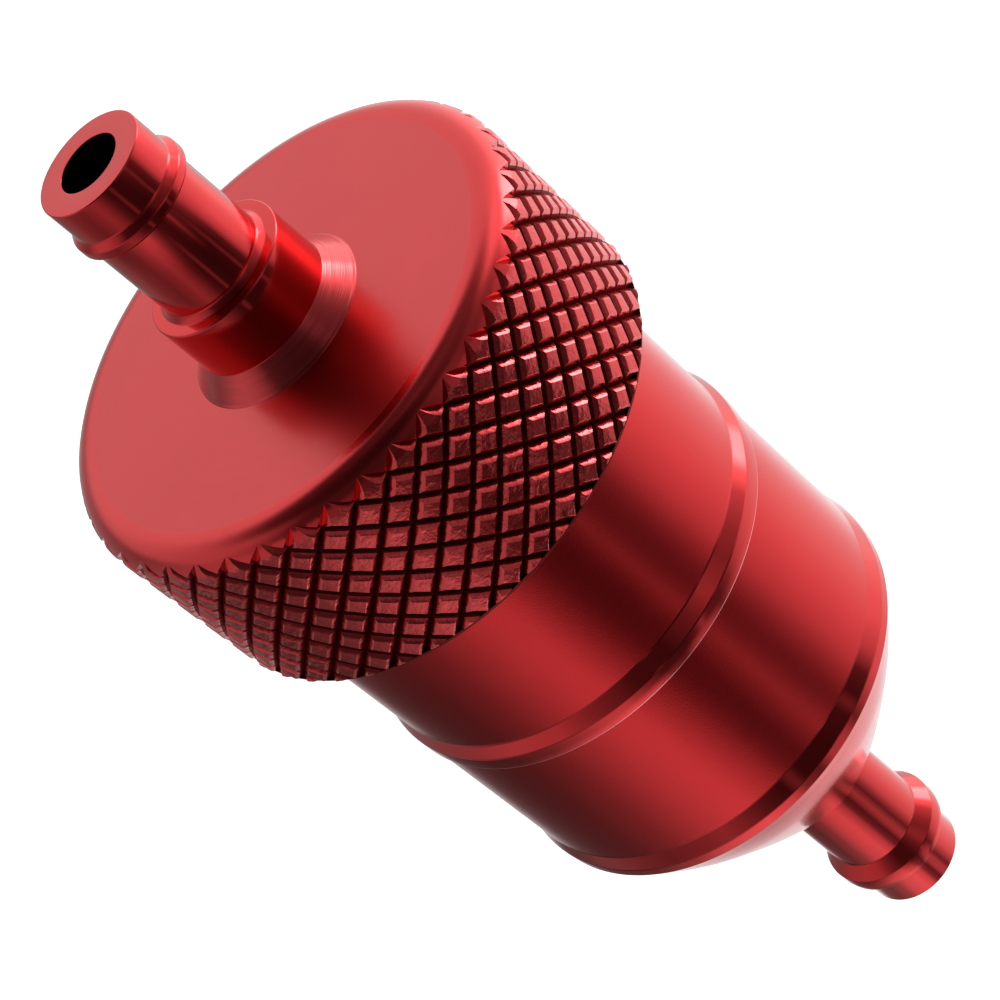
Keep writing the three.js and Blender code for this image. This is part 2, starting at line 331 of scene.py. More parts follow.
def barrel_finish(radius, height, level):
    """Satin between the bright cuts, with a pale pink painted highlight on the sharp edge of the upper ring.
    """
    if radius > 12.6 and -0.02 < height - UPPER_RING[0] < 0.14:
        # The ring's sharp edge gets the painted highlight.
        return RIM_PAINTED_HIGHLIGHT
    return BRIGHT if any(low < height < high for low, high in BRIGHT_BANDS) else SATIN


def finish_faces(piece, finishes, chosen):
    """Gives each face the finish that chosen picks by its radius, its height and whether it is level."""
    for finish in finishes:
        piece.data.materials.append(finish)
    for face in piece.data.polygons:
        radius = math.hypot(face.center.x, face.center.y) / MM
        face.material_index = finishes.index(chosen(radius, face.center.z / MM, face.normal.z > 0.99))
        face.use_smooth = True


finish_faces(barrel, (SATIN, BRIGHT, RIM_PAINTED_HIGHLIGHT), barrel_finish)
barrel.data.set_sharp_from_angle(angle=math.radians(32))
evened(barrel)
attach(barrel, "barrel")
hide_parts("barrel")


# O-ring
# A moulded nitrile ring that seals the cap's skirt. It sits stretched in a square groove under the thread,
# and its mould has left a fine parting line round its inside and its outside.

ring_low, ring_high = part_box("cap_o_ring")
RING_SECTION = 0.61
ring_centre_r = ring_high.x / MM - 0.66
ring_z = (ring_low.z + ring_high.z) / 2 / MM
ring_bm = bmesh.new()
bmesh.ops.create_circle(ring_bm, segments=28, radius=RING_SECTION * MM)
bmesh.ops.rotate(ring_bm, verts=ring_bm.verts[:], cent=(0, 0, 0), matrix=Matrix.Rotation(TURN / 4, 3, "X"))
seam = [vert for vert in ring_bm.verts if abs(vert.co.z) < 1e-7]
bmesh.ops.bevel(
    ring_bm, geom=seam, offset=0.06 * MM, offset_type="OFFSET", segments=2, profile=0.5, affect="VERTICES",
    material=-1,
)
for vert in ring_bm.verts:
    if abs(vert.co.z) < 1e-7:
        vert.co.x *= 1.035
bmesh.ops.translate(ring_bm, verts=ring_bm.verts[:], vec=(ring_centre_r * MM, 0, ring_z * MM))
bmesh.ops.spin(
    ring_bm, geom=ring_bm.verts[:] + ring_bm.edges[:], axis=Z_AXIS, cent=(0, 0, 0), dvec=(0, 0, 0),
    angle=TURN, steps=144, use_merge=True, use_duplicate=False,
)
bmesh.ops.recalc_face_normals(ring_bm, faces=ring_bm.faces[:])
o_ring = finished("moulded_o_ring", ring_bm, 25)


def rubber(name, roughness, grain):
    """Black nitrile rubber with a fine moulded grain and a faint bloom."""
    made, tree, shader = material(name, (0.018, 0.018, 0.019), 0.0, roughness)
    place = add(tree, "ShaderNodeTexCoord").outputs["Object"]
    skin = add(tree, "ShaderNodeTexNoise", scale=4200.0, detail=3.0)
    link(tree, place, skin.inputs["Vector"])
    bloom = add(tree, "ShaderNodeTexNoise", scale=420.0, detail=4.0)
    link(tree, place, bloom.inputs["Vector"])
    shade = add(tree, "ShaderNodeMix", data_type="RGBA")
    shade.inputs["A"].default_value = (0.013, 0.013, 0.014, 1)
    shade.inputs["B"].default_value = (0.030, 0.029, 0.029, 1)
    link(tree, bloom.outputs["Fac"], shade.inputs["Factor"])
    link(tree, shade.outputs["Result"], shader.inputs["Base Color"])
    dulled = ranged(tree, bloom.outputs["Fac"], roughness * 0.8, roughness * 1.2)
    link(tree, dulled, shader.inputs["Roughness"])
    bump = add(tree, "ShaderNodeBump", distance=grain * MM, strength=1.0)
    link(tree, skin.outputs["Fac"], bump.inputs["Height"])
    link(tree, bump.outputs["Normal"], shader.inputs["Normal"])
    return made


o_ring.data.materials.append(rubber("nitrile_o_ring", 0.38, 0.002))
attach(o_ring, "barrel")
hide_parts("cap_o_ring")


# Element seal
# A flat rubber ring moulded with a rounded ridge on each face. The spring presses it between the outlet
# collar and the ledge of the barrel's bowl.

seal_low, seal_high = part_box("element_seal")
seal_z0 = seal_low.z / MM
seal_z1 = seal_high.z / MM
seal_outline = [
    (6.64, seal_z0 + 0.10, 0.12),
    (7.05, seal_z0 + 0.10, 0.10),
    (7.35, seal_z0, 0.15),
    (8.15, seal_z0, 0.15),
    (8.45, seal_z0 + 0.10, 0.10),
    (8.84, seal_z0 + 0.10, 0.12),
    (8.78, (seal_z0 + seal_z1) / 2, 0.30),
    (8.84, seal_z1 - 0.10, 0.12),
    (8.45, seal_z1 - 0.10, 0.10),
    (8.15, seal_z1, 0.15),
    (7.35, seal_z1, 0.15),
    (7.05, seal_z1 - 0.10, 0.10),
    (6.64, seal_z1 - 0.10, 0.12),
    (6.70, (seal_z0 + seal_z1) / 2, 0.30),
]
seal = finished("ridged_seal", turned(seal_outline, 144), 28)
seal.data.materials.append(rubber("nitrile_seal", 0.50, 0.004))
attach(seal, "element")
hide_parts("element_seal")


# Outlet collar
# The open end of the filter element, turned from plain aluminium. Its outer lip and its inner spigot
# make a channel that the pleats and the core tube are potted into.


def bare_metal(name, dark, light, roughness, rings, ring_scale=5600.0, metallic=1.0):
    """Bare turned or drawn metal: tool marks as ring bumps in millimetres, and a slightly mottled colour."""
    made, tree, shader = material(name, light, metallic, roughness)
    place, ringed = lathe_coordinates(tree)
    marks = add(tree, "ShaderNodeTexNoise", scale=ring_scale, detail=3.0)
    link(tree, ringed, marks.inputs["Vector"])
    mottle = add(tree, "ShaderNodeTexNoise", scale=700.0, detail=4.0)
    link(tree, place, mottle.inputs["Vector"])
    shade = add(tree, "ShaderNodeMix", data_type="RGBA")
    shade.inputs["A"].default_value = (*dark, 1)
    shade.inputs["B"].default_value = (*light, 1)
    link(tree, mottle.outputs["Fac"], shade.inputs["Factor"])
    link(tree, shade.outputs["Result"], shader.inputs["Base Color"])
    worn = ranged(tree, marks.outputs["Fac"], roughness * 0.7, roughness * 1.3)
    link(tree, worn, shader.inputs["Roughness"])
    bump = add(tree, "ShaderNodeBump", distance=rings * MM, strength=1.0)
    link(tree, marks.outputs["Fac"], bump.inputs["Height"])
    link(tree, bump.outputs["Normal"], shader.inputs["Normal"])
    return made


PLAIN_ALUMINIUM = bare_metal("turned_aluminium", (0.66, 0.67, 0.69), (0.80, 0.81, 0.83), 0.30, 0.006)
collar_low, collar_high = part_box("outlet_collar")
collar_r = collar_high.x / MM
collar_z0 = collar_low.z / MM
collar_z1 = collar_high.z / MM
collar_outline = [
    (5.62, collar_z0, 0.18),
    (collar_r - 0.02, collar_z0, 0.25),
    (collar_r - 0.02, collar_z0 + 0.95, 0.05),
    (collar_r - 0.14, collar_z0 + 1.05, 0.04),
    (collar_r - 0.14, collar_z0 + 1.25, 0.04),
    (collar_r - 0.02, collar_z0 + 1.35, 0.05),
    (collar_r - 0.02, collar_z1, 0.10),
    (collar_r - 0.28, collar_z1, 0.10),
    (collar_r - 0.28, collar_z0 + 1.22, 0.10),
    (6.08, collar_z0 + 1.22, 0.10),
    (6.08, collar_z1, 0.12),
    (5.62, collar_z1, 0.20),
]
collar = finished("channelled_collar", turned(collar_outline, 144))
collar.data.materials.append(PLAIN_ALUMINIUM)
evened(collar)
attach(collar, "element")
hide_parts("outlet_collar")


# Potting
# Two rings of amber epoxy, poured into the two channels, that seal the ends of the pleats. The resin has
# crept up both walls before it set, so that its free face is hollow.


def resin_ring(name, node, free_face_up):
    """A ring of resin in the box of its node, with a meniscus on its free face."""
    low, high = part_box(node)
    outer = high.x / MM - 0.02
    flat, free = (low.z / MM, high.z / MM) if free_face_up else (high.z / MM, low.z / MM)
    sunk = free + math.copysign(0.22, flat - free)
    outline = [
        (6.82, flat, 0.04),
        (outer, flat, 0.04),
        (outer, free, 0.03),
        (outer - 0.30, sunk, 0.35),
        (7.15, sunk, 0.35),
        (6.82, free, 0.03),
    ]
    return finished(name, turned(outline, 144))


RESIN, resin_tree, resin_shader = material(
    "amber_epoxy", (0.36, 0.17, 0.03), 0.0, 0.14, coat=0.6, coat_roughness=0.05,
)
resin_place = add(resin_tree, "ShaderNodeTexCoord").outputs["Object"]
cloud = add(resin_tree, "ShaderNodeTexNoise", scale=380.0, detail=3.0)
link(resin_tree, resin_place, cloud.inputs["Vector"])
amber = add(resin_tree, "ShaderNodeMix", data_type="RGBA")
amber.inputs["A"].default_value = (0.26, 0.10, 0.015, 1)
amber.inputs["B"].default_value = (0.46, 0.25, 0.05, 1)
link(resin_tree, cloud.outputs["Fac"], amber.inputs["Factor"])
link(resin_tree, amber.outputs["Result"], resin_shader.inputs["Base Color"])
for name, node, free_face_up in (
    ("lower_resin", "lower_potting", True), ("upper_resin", "upper_potting", False),
):
    resin = resin_ring(name, node, free_face_up)
    resin.data.materials.append(RESIN)
    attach(resin, "element")
    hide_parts(node)


# Core tube
# Thin stainless tube that keeps the pleats from collapsing, pushed on to the two spigots. Three rows of
# six round-ended slots are punched in it, and its rolled seam shows as a fine lengthwise groove.

core_low, core_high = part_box("core_tube")
core_z0 = core_low.z / MM
core_z1 = core_high.z / MM
core = finished("slotted_core", turned(
    [(6.16, core_z0, 0.08), (6.70, core_z0, 0.12), (6.70, core_z1, 0.12), (6.16, core_z1, 0.08)], 144,
))
SLOT_ROWS = 3
SLOT_COLUMNS = 6


def slot_cutters():
    """Round-ended bars through the tube's wall, one for each slot, and a thin blade for the seam."""
    bm = bmesh.new()
    spacing = (core_z1 - core_z0) / SLOT_ROWS
    outline = [
        bm.verts.new(Vector((5.2, y, core_z0 + spacing / 2 + z)) * MM)
        for y, z in ((-0.8, -1.8), (0.8, -1.8), (0.8, 1.8), (-0.8, 1.8))
    ]
    bm.faces.new(outline)
    bmesh.ops.bevel(
        bm, geom=outline, offset=0.78 * MM, offset_type="OFFSET", segments=8, profile=0.5, affect="VERTICES",
        material=-1,
    )
    wall = bmesh.ops.extrude_face_region(bm, geom=bm.faces[:])["geom"]
    moved = [item for item in wall if isinstance(item, bmesh.types.BMVert)]
    bmesh.ops.translate(bm, verts=moved, vec=(2.4 * MM, 0, 0))
    bmesh.ops.spin(
        bm, geom=bm.verts[:] + bm.edges[:] + bm.faces[:], axis=Z_AXIS, cent=(0, 0, 0), dvec=(0, 0, 0),
        angle=TURN * (SLOT_COLUMNS - 1) / SLOT_COLUMNS, steps=SLOT_COLUMNS - 1, use_duplicate=True,
    )
    row = bm.verts[:] + bm.edges[:] + bm.faces[:]
    for step in range(SLOT_ROWS - 1):
        row = bmesh.ops.duplicate(bm, geom=row)["geom"]
        verts = [item for item in row if isinstance(item, bmesh.types.BMVert)]
        bmesh.ops.translate(bm, verts=verts, vec=(0, 0, spacing * MM))
    blade = bmesh.ops.create_cube(bm, size=MM)["verts"]
    bmesh.ops.scale(bm, verts=blade, vec=(0.3, 0.06, core_z1 - core_z0 + 1))
    bmesh.ops.translate(bm, verts=blade, vec=(6.78 * MM, 0, (core_z0 + core_z1) / 2 * MM))
    bmesh.ops.rotate(bm, verts=blade, cent=(0, 0, 0), matrix=Matrix.Rotation(TURN / 12, 3, "Z"))
    bmesh.ops.recalc_face_normals(bm, faces=bm.faces[:])
    return bm


combined(core, finished("slot_cutters", slot_cutters()), "DIFFERENCE")
core.data.set_sharp_from_angle(angle=math.radians(30))
core.data.materials.append(bare_metal(
    "drawn_stainless", (0.50, 0.50, 0.51), (0.66, 0.66, 0.67), 0.26, 0.003,
))
evened(core)
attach(core, "element")
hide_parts("core_tube")


# Pleated mesh
# The filter itself: a strip of plain-woven stainless wire folded into twenty pleats and joined into a
# sleeve, with its two ends held in the potting.

mesh_low, mesh_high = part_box("pleated_mesh")
mesh_z0 = mesh_low.z / MM
mesh_z1 = mesh_high.z / MM
PLEATS = 20
FOLD_INNER = 7.05
FOLD_OUTER = mesh_high.x / MM - 0.02
SHEET = 0.14
WIRE_PITCH = 0.22

pleat_bm = bmesh.new()
folds = []
for i in range(PLEATS * 2):
    reach = FOLD_INNER if i % 2 else FOLD_OUTER
    angle = TURN * i / PLEATS / 2
    place = (reach * MM * math.cos(angle), reach * MM * math.sin(angle), mesh_z0 * MM)
    folds.append(pleat_bm.verts.new(place))
for i in range(PLEATS * 2):
    pleat_bm.edges.new((folds[i - 1], folds[i]))
bmesh.ops.bevel(
    pleat_bm, geom=folds, offset=0.24 * MM, offset_type="OFFSET", segments=5, profile=0.5, affect="VERTICES",
    material=-1,
)
woven_u = {}
first = vert = pleat_bm.verts[:][0]
travelled = 0.0
while vert not in woven_u:
    woven_u[vert] = travelled
    onward = [edge.other_vert(vert) for edge in vert.link_edges if edge.other_vert(vert) not in woven_u]
    following = onward[0] if onward else first
    travelled += (following.co - vert.co).length
    vert = following
strip = pleat_bm.loops.layers.uv.new("strip")
along = {(round(vert.co.x, 7), round(vert.co.y, 7)): u for vert, u in woven_u.items()}
risen = bmesh.ops.extrude_edge_only(pleat_bm, edges=pleat_bm.edges[:])["geom"]
risen = [item for item in risen if isinstance(item, bmesh.types.BMVert)]
bmesh.ops.translate(pleat_bm, verts=risen, vec=(0, 0, (mesh_z1 - mesh_z0) * MM))
bmesh.ops.recalc_face_normals(pleat_bm, faces=pleat_bm.faces[:])
for face in pleat_bm.faces:
    places = [along[(round(loop.vert.co.x, 7), round(loop.vert.co.y, 7))] for loop in face.loops]
    joined = max(places) - min(places) > 5 * MM
    for loop, u in zip(face.loops, places):
        loop[strip].uv = (u / MM + (travelled / MM if joined and u < 5 * MM else 0), loop.vert.co.z / MM)
pleats = finished("woven_pleats", pleat_bm, 60)
thickness = pleats.modifiers.new("sheet", "SOLIDIFY")
thickness.thickness = SHEET * MM
thickness.offset = -1

woven, weave, woven_shader = material("woven_stainless", (0.48, 0.48, 0.47), 1.0, 0.36)
strip_uv = add(weave, "ShaderNodeUVMap", uv_map="strip")
wires = []
for axis in ("X", "Y"):
    wire = add(
        weave, "ShaderNodeTexWave", wave_type="BANDS", bands_direction=axis, scale=TURN / 20 / WIRE_PITCH,
    )
    link(weave, strip_uv.outputs[0], wire.inputs["Vector"])
    wires.append(wire)
crossing = add(weave, "ShaderNodeTexChecker", scale=1 / WIRE_PITCH)
link(weave, strip_uv.outputs[0], crossing.inputs["Vector"])
over = add(weave, "ShaderNodeMix", data_type="FLOAT")
link(weave, crossing.outputs["Fac"], over.inputs["Factor"])
link(weave, wires[0].outputs["Fac"], over.inputs["A"])
link(weave, wires[1].outputs["Fac"], over.inputs["B"])
wire_shade = add(weave, "ShaderNodeMix", data_type="RGBA")
wire_shade.inputs["A"].default_value = (0.10, 0.10, 0.10, 1)
wire_shade.inputs["B"].default_value = (0.60, 0.60, 0.59, 1)
link(weave, over.outputs["Result"], wire_shade.inputs["Factor"])
link(weave, wire_shade.outputs["Result"], woven_shader.inputs["Base Color"])
wire_bump = add(weave, "ShaderNodeBump", distance=0.05 * MM, strength=1.0)
link(weave, over.outputs["Result"], wire_bump.inputs["Height"])
link(weave, wire_bump.outputs["Normal"], woven_shader.inputs["Normal"])
pleats.data.materials.append(woven)
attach(pleats, "element")
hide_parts("pleated_mesh")


# Closed end
# The blind end of the element, turned from plain aluminium, with the same potted channel as the outlet
# collar. Its boss centres the spring, and a centre drill has left a small cone in the boss.

end_low, end_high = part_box("closed_end")
end_r = end_high.x / MM
end_z0 = end_low.z / MM
end_z1 = end_high.z / MM
PLATE_TOP = 48.0
PLATE_BOTTOM = 46.8
end_outline = [
    (0, PLATE_BOTTOM, 0),
    (5.62, PLATE_BOTTOM, 0.10),
    (5.62, end_z0, 0.20),
    (6.08, end_z0, 0.12),
    (6.08, PLATE_BOTTOM - 0.02, 0.10),
    (end_r - 0.28, PLATE_BOTTOM - 0.02, 0.10),
    (end_r - 0.28, end_z0, 0.10),
    (end_r - 0.02, end_z0, 0.10),
    (end_r - 0.02, PLATE_TOP - 1.35, 0.05),
    (end_r - 0.14, PLATE_TOP - 1.25, 0.04),
    (end_r - 0.14, PLATE_TOP - 1.05, 0.04),
    (end_r - 0.02, PLATE_TOP - 0.95, 0.05),
    (end_r - 0.02, PLATE_TOP, 0.25),
    (3.90, PLATE_TOP, 0.12),
    (3.88, end_z1 - 0.35, 0.10),
    (3.50, end_z1, 0.10),
    (0.70, end_z1, 0.05),
    (0, end_z1 - 0.60, 0),
]
closed_end = finished("bossed_end", turned(end_outline, 144))
closed_end.data.materials.append(PLAIN_ALUMINIUM)
evened(closed_end)
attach(closed_end, "element")
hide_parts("closed_end")


# Spring
# Compression spring of round stainless wire, with one closed turn at each end. It stands round the boss
# and presses the element on to its seat.

spring_low, spring_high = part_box("spring")
SPRING_R = 5.2
WIRE_R = 0.44
CLOSED_PITCH = 1.05
OPEN_TURNS = 3.5
SPRING_STEPS = 48
spring_z0 = spring_low.z / MM
spring_rise = spring_high.z / MM - spring_z0 - 2 * WIRE_R - 0.02
open_pitch = (spring_rise - 2 * CLOSED_PITCH) / OPEN_TURNS

spring_bm = bmesh.new()
bmesh.ops.create_circle(spring_bm, segments=16, radius=WIRE_R * MM)
wire_section = spring_bm.verts[:]
bmesh.ops.rotate(spring_bm, verts=wire_section, cent=(0, 0, 0), matrix=Matrix.Rotation(TURN / 4, 3, "X"))
bmesh.ops.translate(
    spring_bm, verts=wire_section, vec=(SPRING_R * MM, 0, (spring_z0 + WIRE_R + 0.01) * MM),
)
wire_end = spring_bm.verts[:] + spring_bm.edges[:]
for turns_made, pitch in ((1.0, CLOSED_PITCH), (OPEN_TURNS, open_pitch), (1.0, CLOSED_PITCH)):
    steps = round(turns_made * SPRING_STEPS)
    wire_end = bmesh.ops.spin(
        spring_bm, geom=wire_end, axis=Z_AXIS, cent=(0, 0, 0), dvec=(0, 0, pitch * turns_made * MM / steps),
        angle=TURN * turns_made, steps=steps, use_merge=False, use_duplicate=False,
    )["geom_last"]
open_edges = [edge for edge in spring_bm.edges if edge.is_boundary]
cut_ends = bmesh.ops.holes_fill(spring_bm, edges=open_edges, sides=0)["faces"]
for inset_by, pushed in ((0.06, 0.0), (0.08, 0.03)):
    bmesh.ops.inset_individual(spring_bm, faces=cut_ends, thickness=inset_by * MM, depth=pushed * MM)
bmesh.ops.recalc_face_normals(spring_bm, faces=spring_bm.faces[:])
spring = finished("closed_end_spring", spring_bm, 50)
spring.data.materials.append(bare_metal(
    "spring_wire", (0.58, 0.58, 0.59), (0.74, 0.74, 0.75), 0.20, 0.002, ring_scale=2600.0,
))
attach(spring, "spring_seat")
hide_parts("spring")
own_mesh(spring)


# Spring seat washer
# A stamped brass washer in a pocket of the cap's roof. The spring's end stands in its shallow track, so
# that the cap can turn without winding the spring up.

washer_low, washer_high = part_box("spring_seat_washer")
washer_z0 = washer_low.z / MM
washer_z1 = washer_high.z / MM
washer_outline = [
    (3.42, washer_z0, 0.14),
    (4.50, washer_z0, 0.12),
    (4.72, washer_z0 + 0.16, 0.12),
    (5.68, washer_z0 + 0.16, 0.12),
    (5.90, washer_z0, 0.12),
    (6.96, washer_z0, 0.22),
    (6.96, washer_z1, 0.05),
    (3.42, washer_z1, 0.05),
]
washer = finished("tracked_washer", turned(washer_outline, 144))
washer.data.materials.append(bare_metal(
    "stamped_brass", (0.62, 0.42, 0.14), (0.78, 0.57, 0.24), 0.28, 0.002,
))
evened(washer)
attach(washer, "spring_seat")
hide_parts("spring_seat_washer")


# Inlet cap
# The upper shell and inlet barb, turned from one bar and anodised red, with its female thread inside. A
# diamond knurl of 42 grooves of each hand is rolled into its rim, above a narrow plain lip, for the fingers.

cap_low, cap_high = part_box("inlet_cap")
rim_z = cap_low.z / MM
tip_z = cap_high.z / MM
cap_r = cap_high.x / MM
FACE_Z = 61.0
KNURL_GROOVES = 42
KNURL_PITCH = 2.13
KNURL_ROOT = cap_r - 0.42
KNURL_TOP = 59.9
KNURL_ROWS = 16
LIP = 0.30
INNER_R = 12.70
ROOF_Z = 58.4
FLARE_R = 5.36
SHOULDER_R = 4.19
SHOULDER_Z = 65.90

cap_outline = [
    (BORE_R, ROOF_Z, 0.04),
    (7.30, ROOF_Z, 0),
    (7.30, 58.0, 0.05),
    (11.25, 58.0, 0.10),
    (12.15, 57.5, 0.10),
    (12.15, 52.1, 0),
    (INNER_R, 51.6, 0.10),
    (INNER_R, rim_z, 0.10),
    (cap_r - 0.26, rim_z, 0.08),
    (cap_r - 0.22, rim_z + 0.26, 0.04),
    (cap_r, rim_z + 0.36, 0.05),
    (cap_r, FACE_Z - 0.1, 1.5),
    (12.70, FACE_Z, 0.0),
    (FLARE_R, FACE_Z, 0.03),
    (SHOULDER_R, FACE_Z + 1.30, 0.05),
    (SHOULDER_R, SHOULDER_Z, 0.11),
    (3.50, SHOULDER_Z, 0.05),
    (BARB_R, 66.20, 0.08),
    (BARB_R, 71.75, 0.03),
    (3.50, 71.75, 0.04),
    (3.58, 71.86, 0.04),
    (3.57, 72.36, 0.05),
    (BARB_R, 72.72, 0.08),
    (BARB_R, tip_z, 0.07),
    (BORE_R, tip_z, 0.03),
]
cap = finished("knurled_cap", turned(cap_outline, KNURL_GROOVES * 6))
combined(cap, finished("female_thread", thread_ridge(12.15, 11.25, 53.45)), "UNION")


def knurl_cutter():
    """A sleeve whose inner wall is the knurl turned inside out: one diamond repeated round and up."""
    bm = bmesh.new()
    half_turn = TURN / KNURL_GROOVES / 2
    half_pitch = KNURL_PITCH / 2
    corners = []
    for turn, rise in ((0, -half_pitch), (half_turn, 0), (0, half_pitch), (-half_turn, 0)):
        spot = Vector((KNURL_ROOT * math.cos(turn), KNURL_ROOT * math.sin(turn), rim_z - KNURL_PITCH + rise))
        corners.append(bm.verts.new(spot * MM))
    bm.faces.new(corners)
    bmesh.ops.spin(
        bm, geom=bm.verts[:] + bm.edges[:] + bm.faces[:], axis=Z_AXIS, cent=(0, 0, 0), dvec=(0, 0, 0),
        angle=TURN * (KNURL_GROOVES - 1) / KNURL_GROOVES, steps=KNURL_GROOVES - 1, use_duplicate=True,
    )
    row = bm.verts[:] + bm.edges[:] + bm.faces[:]
    for step in range(KNURL_ROWS - 1):
        copied = bmesh.ops.duplicate(bm, geom=row)["geom"]
        verts = [item for item in copied if isinstance(item, bmesh.types.BMVert)]
        bmesh.ops.rotate(bm, verts=verts, cent=(0, 0, 0), matrix=Matrix.Rotation(half_turn, 3, "Z"))
        bmesh.ops.translate(bm, verts=verts, vec=(0, 0, half_pitch * MM))
        row = copied
    bmesh.ops.remove_doubles(bm, verts=bm.verts[:], dist=0.002 * MM)
    bmesh.ops.recalc_face_normals(bm, faces=bm.faces[:])
    if bm.faces[0].normal.dot(bm.faces[0].calc_center_median()) < 0:
        bmesh.ops.reverse_faces(bm, faces=bm.faces[:])
    tops = bm.faces[:]
    for thickness, depth in ((0.15, 0.23), (0.13, 0.14), (0.08, 0.06)):
        bmesh.ops.inset_individual(
            bm, faces=tops, thickness=thickness * MM, depth=depth * MM, use_even_offset=True,
        )
    for level, keep_above in ((rim_z + LIP, True), (rim_z + 12.18, False)):
        bmesh.ops.bisect_plane(
            bm, geom=bm.verts[:] + bm.edges[:] + bm.faces[:], dist=1e-7, plane_co=(0, 0, level * MM),
            plane_no=Z_AXIS, clear_inner=keep_above, clear_outer=not keep_above,
        )
    rims = [edge for edge in bm.edges if edge.is_boundary]
    grown = bmesh.ops.extrude_edge_only(bm, edges=rims)["geom"]
    outer = [item for item in grown if isinstance(item, bmesh.types.BMVert)]
    for vert in outer:
        radius = math.hypot(vert.co.x, vert.co.y)
        vert.co.x *= (cap_r + 1.5) * MM / radius
        vert.co.y *= (cap_r + 1.5) * MM / radius
    bmesh.ops.bridge_loops(bm, edges=[edge for edge in bm.edges if edge.is_boundary])
    bmesh.ops.recalc_face_normals(bm, faces=bm.faces[:])
    return bm


combined(cap, finished("knurl_cutter", knurl_cutter()), "DIFFERENCE")
BLASTED = anodised("anodised_blasted_face", 0.31, 0.0020, 0.0006, coat=0.95)
ROUNDED = anodised("anodised_rounded_rim", 0.19, 0.0012, 0.0006, coat=1.0, coat_ior=1.48)
ROLLED = anodised("anodised_rolled_knurl", 0.20, 0.0320, 0.0, coat=1.0, grain_scale=2900.0)
GROOVED = anodised("anodised_tool_marks", 0.13, 0.0006, 0.0260, coat=1.0, ring_scale=7200.0)
# The deep walls of the knurl grooves are coloured a near-black red: painted shade in the recesses between
# the teeth.
KNURL_ROOT_SHADE_TINTS = ((0.08, 0.0010, 0.0015), (0.17, 0.0020, 0.0028))
PAINTED_SHADE_ROOTS = anodised("anodised_knurl_roots_painted_shade", 0.45, 0.0100, 0.0, coat=0.2, dye_and_painted_light=KNURL_ROOT_SHADE_TINTS)


def cap_finish(radius, height, level):
    """Blasted flats, rolled knurl with painted shade on its deep groove walls, rounded rim, tool-marked
    flare, and bright cuts.
    """
    if level and (height > tip_z - 0.02 or 5.4 < radius < 12.8):
        return BLASTED
    # Knurl faces more than 0.22 mm below the crests get painted shade, and the crests get the rolled finish.
    if radius > KNURL_ROOT - 0.05 and height < KNURL_TOP:
        return ROLLED if radius > cap_r - 0.22 else PAINTED_SHADE_ROOTS
    if radius > 12.6 and height > KNURL_TOP:
        return ROUNDED
    if radius < 5.4 and FACE_Z < height < FACE_Z + 1.3:
        return GROOVED
    return BRIGHT


finish_faces(cap, (BRIGHT, BLASTED, ROLLED, ROUNDED, GROOVED, PAINTED_SHADE_ROOTS), cap_finish)
cap.data.set_sharp_from_angle(angle=math.radians(19))
evened(cap)
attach(cap, "cap")
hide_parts("inlet_cap")


# Floor, light and camera
# A plain pale floor well below the filter, and soft studio light: a broad, strong bank of light on one side
# and weaker ones opposite, with dark gaps between them and a dark ceiling.

FLOOR_DROP = 0.06
FLOOR_SIZE = 6.0
floor_bm = bmesh.new()
bmesh.ops.create_grid(floor_bm, x_segments=1, y_segments=1, size=FLOOR_SIZE / 2)
bmesh.ops.translate(floor_bm, verts=floor_bm.verts[:], vec=(0, 0, cad_low.z - FLOOR_DROP))
floor = finished("floor", floor_bm)
paper, _, paper_shader = material("pale_paper", (0.85, 0.85, 0.85), 0.0, 0.9)
paper_shader.inputs["Emission Color"].default_value = (1, 1, 1, 1)
paper_shader.inputs["Emission Strength"].default_value = 0.80
floor.data.materials.append(paper)
floor.visible_glossy = False
floor.visible_diffuse = False
floor.visible_shadow = False

